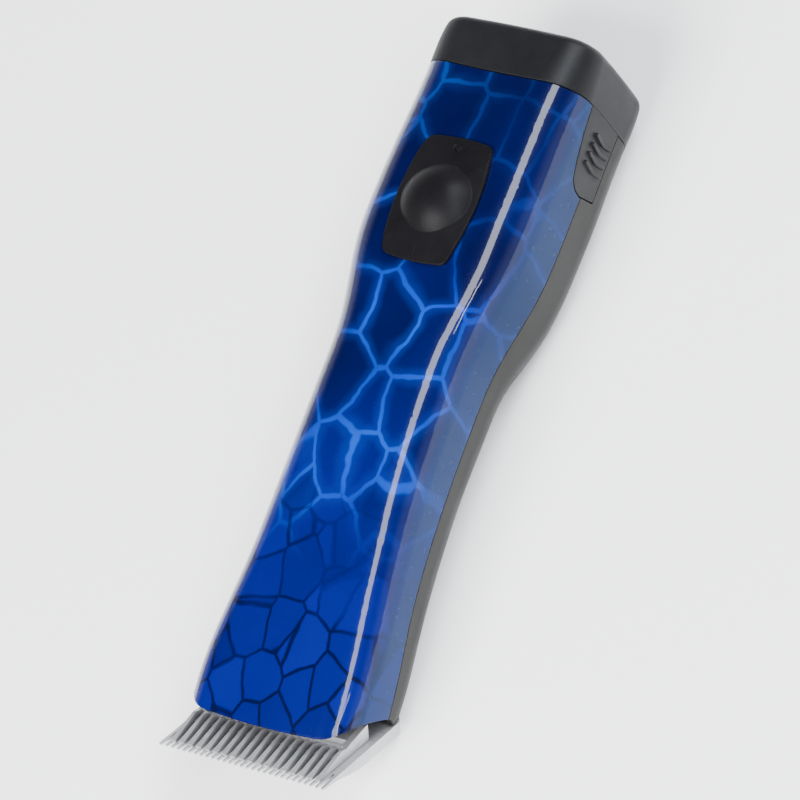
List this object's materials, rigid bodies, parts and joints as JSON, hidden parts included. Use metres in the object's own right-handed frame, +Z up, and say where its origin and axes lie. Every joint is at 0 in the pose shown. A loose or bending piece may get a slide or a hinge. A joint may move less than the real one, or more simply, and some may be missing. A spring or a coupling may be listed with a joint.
{
  "type": "cordless animal clipper",
  "caption": "Cordless animal clipper: waisted handle with printed shell, slide switch, plug-in battery with side latches, and a fold-open clip-on comb and cutter blade set.",
  "frame": {"origin": "on the surface it lies on, under the middle of the clipper", "axes": "+X along the handle towards the blade tips, +Y to the clipper's left side, +Z up on the switch side"},
  "size_m": [0.2028, 0.0494, 0.0504],
  "materials": {
    "blue_shell": "glossy printed blue",
    "grey_shell": "satin dark grey",
    "cap_plastic": "satin near-black",
    "switch_plastic": "satin dark grey",
    "black_plastic": "matte black",
    "blade_steel": "ground steel",
    "steel_screw": "machined steel",
    "motor_steel": "plated steel",
    "magnet": "ferrite",
    "bronze": "sintered bronze",
    "brass": "plated contact metal",
    "copper": "copper",
    "cast_alloy": "die cast",
    "board_green": "circuit board",
    "cell_wrap": "shrink sleeve",
    "lever_plastic": "moulded nylon"
  },
  "bodies": {
    "housing": {"upper_shell": "blue_shell", "lower_shell": "grey_shell", "housing_screws": "steel_screw", "contact_block": "black_plastic", "contact_pins": "brass", "motor_can": "motor_steel", "motor_end_bell": "black_plastic", "motor_magnets": "magnet", "motor_bushes": "bronze", "motor_brushes": "brass", "motor_screws": "steel_screw", "drive_frame": "cast_alloy", "lever_pivot_pin": "steel_screw", "pivot_clip": "steel_screw", "head_plate": "black_plastic", "hinge_pin": "steel_screw", "hinge_base": "blade_steel", "control_board": "board_green", "power_switch": "black_plastic", "board_screws": "steel_screw"},
    "battery": {"battery_cap": "cap_plastic", "battery_case": "black_plastic", "battery_cells": "cell_wrap", "cell_links": "brass", "protection_board": "board_green", "battery_terminals": "brass", "battery_screws": "steel_screw", "latch_springs": "blade_steel", "latch_pins": "steel_screw"},
    "latch_left": {"latch_left": "cap_plastic"},
    "latch_right": {"latch_right": "cap_plastic"},
    "switch": {"switch_slider": "switch_plastic", "switch_actuator": "black_plastic"},
    "rotor": {"motor_shaft": "steel_screw", "rotor_core": "motor_steel", "rotor_windings": "copper", "commutator": "copper", "crank": "steel_screw", "crank_bearing": "steel_screw"},
    "lever": {"drive_lever": "lever_plastic"},
    "blade_hinge": {"hinge_tongue": "blade_steel"},
    "blade_set": {"comb_blade": "blade_steel", "comb_socket": "blade_steel", "blade_screws": "steel_screw", "tension_spring": "blade_steel"},
    "cutter": {"cutter_blade": "blade_steel"},
    "release": {"blade_release": "black_plastic", "release_spring": "blade_steel"}
  },
  "joints": [
    {"name": "battery_slide", "type": "slide", "parent": "housing", "child": "battery", "axis": [-1, 0, 0], "range_m": [0, 0.085]},
    {"name": "latch_left_press", "type": "hinge", "parent": "battery", "child": "latch_left", "pos_m": [-0.0846, 0.0207, 0.0225], "axis": [0, 0, -1], "range_deg": [0, 4], "stiffness_Nm_per_rad": 0.4},
    {"name": "latch_right_press", "type": "hinge", "parent": "battery", "child": "latch_right", "pos_m": [-0.0846, -0.0207, 0.0225], "axis": [0, 0, 1], "range_deg": [0, 4], "stiffness_Nm_per_rad": 0.4},
    {"name": "switch_slide", "type": "slide", "parent": "housing", "child": "switch", "axis": [1, 0, 0], "range_m": [0, 0.004]},
    {"name": "motor_spin", "type": "hinge", "parent": "housing", "child": "rotor", "pos_m": [0, 0, 0.02], "axis": [1, 0, 0], "continuous": true},
    {"name": "lever_swing", "type": "hinge", "parent": "housing", "child": "lever", "pos_m": [0.0525, 0, 0.02], "axis": [0, 0, 1], "range_deg": [-2.5, 2.5]},
    {"name": "blade_fold", "type": "hinge", "parent": "housing", "child": "blade_hinge", "pos_m": [0.06978, 0, 0.00206], "axis": [0, 1, 0], "range_deg": [0, 70]},
    {"name": "blade_off", "type": "slide", "parent": "blade_hinge", "child": "blade_set", "axis": [0.7716, 0, 0.6361], "range_m": [0, 0.03]},
    {"name": "cutter_slide", "type": "slide", "parent": "blade_set", "child": "cutter", "axis": [0, 1, 0], "range_m": [-0.0013, 0.0013]},
    {"name": "release_slide", "type": "slide", "parent": "housing", "child": "release", "axis": [-1, 0, 0], "range_m": [0, 0.0025], "stiffness_N_per_m": 300}
  ],
  "couplings": [
    {"joint": "lever_swing", "follows": "cutter_slide", "rad_per_m": 33.047}
  ]
}
